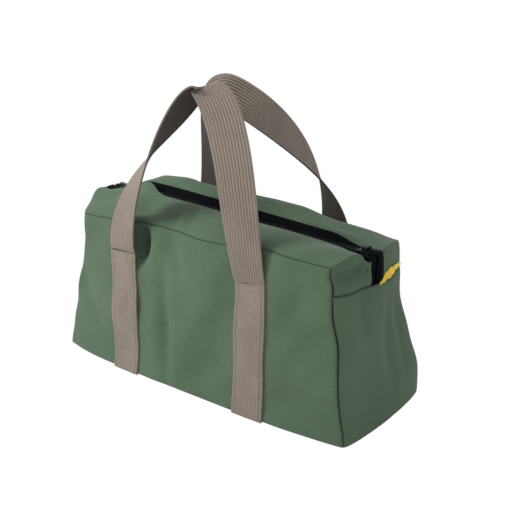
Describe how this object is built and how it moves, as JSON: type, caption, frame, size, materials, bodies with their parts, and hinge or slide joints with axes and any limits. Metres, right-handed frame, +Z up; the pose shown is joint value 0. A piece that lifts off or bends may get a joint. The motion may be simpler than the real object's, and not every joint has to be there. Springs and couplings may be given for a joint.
{
  "type": "tool bag",
  "caption": "Long canvas tool bag with a zipped top that opens in two halves, two webbing carry handles sewn down its sides and a ribbon pull on the zip.",
  "frame": {"origin": "middle of the base, on the surface that the bag stands on", "axes": "+X along the bag towards the closed end of the zip, -Y the front, +Z up"},
  "size_m": [0.352, 0.1428, 0.2805],
  "materials": {
    "canvas": "woven canvas, matt",
    "zip_tape": "woven tape, matt",
    "zip_teeth": "moulded, slightly shiny",
    "binding": "woven tape, matt",
    "webbing": "ribbed webbing, matt",
    "slider": "black enamel",
    "pull_cord": "woven cord tape",
    "pull_ribbon": "satin ribbon"
  },
  "bodies": {
    "bag": {"front_panel": "canvas", "rear_panel": "canvas", "bottom_panel": "canvas", "left_end_panel": "canvas", "right_end_panel": "canvas", "left_top_end": "canvas", "right_top_end": "canvas", "left_zip_end_tapes": "zip_tape", "right_zip_end_tapes": "zip_tape", "zip_end_teeth": "zip_teeth", "zip_top_stops": "zip_teeth", "zip_bottom_stop": "zip_teeth", "corner_bindings": "binding", "base_bindings": "binding", "front_left_strap": "webbing", "front_right_strap": "webbing", "rear_left_strap": "webbing", "rear_right_strap": "webbing"},
    "front_top": {"front_top_half": "canvas", "front_zip_tape": "zip_tape", "front_zip_teeth": "zip_teeth"},
    "rear_top": {"rear_top_half": "canvas", "rear_zip_tape": "zip_tape", "rear_zip_teeth": "zip_teeth"},
    "front_handle": {"front_handle_webbing": "webbing"},
    "rear_handle": {"rear_handle_webbing": "webbing"},
    "slider": {"slider_body": "slider", "slider_bridge": "slider", "pull_cord": "pull_cord", "pull_ribbon": "pull_ribbon"}
  },
  "joints": [
    {"name": "front_handle_fold", "type": "hinge", "parent": "bag", "child": "front_handle", "pos_m": [0, -0.0661, 0.121], "axis": [1, 0, 0], "range_deg": [0, 150]},
    {"name": "rear_handle_fold", "type": "hinge", "parent": "bag", "child": "rear_handle", "pos_m": [0, 0.04895, 0.121], "axis": [-1, 0, 0], "range_deg": [0, 150]},
    {"name": "front_top_open", "type": "hinge", "parent": "bag", "child": "front_top", "pos_m": [0, -0.0612, 0.1502], "axis": [1, 0, 0], "range_deg": [0, 45]},
    {"name": "rear_top_open", "type": "hinge", "parent": "bag", "child": "rear_top", "pos_m": [0, 0.0432, 0.1502], "axis": [-1, 0, 0], "range_deg": [0, 45]},
    {"name": "zip_slide", "type": "slide", "parent": "bag", "child": "slider", "axis": [-0.9973, 0, 0.0737], "range_m": [0, 0.2852], "deforming": ["pull_cord", "pull_ribbon", "front_zip_teeth", "rear_zip_teeth", "zip_end_teeth"]}
  ]
}
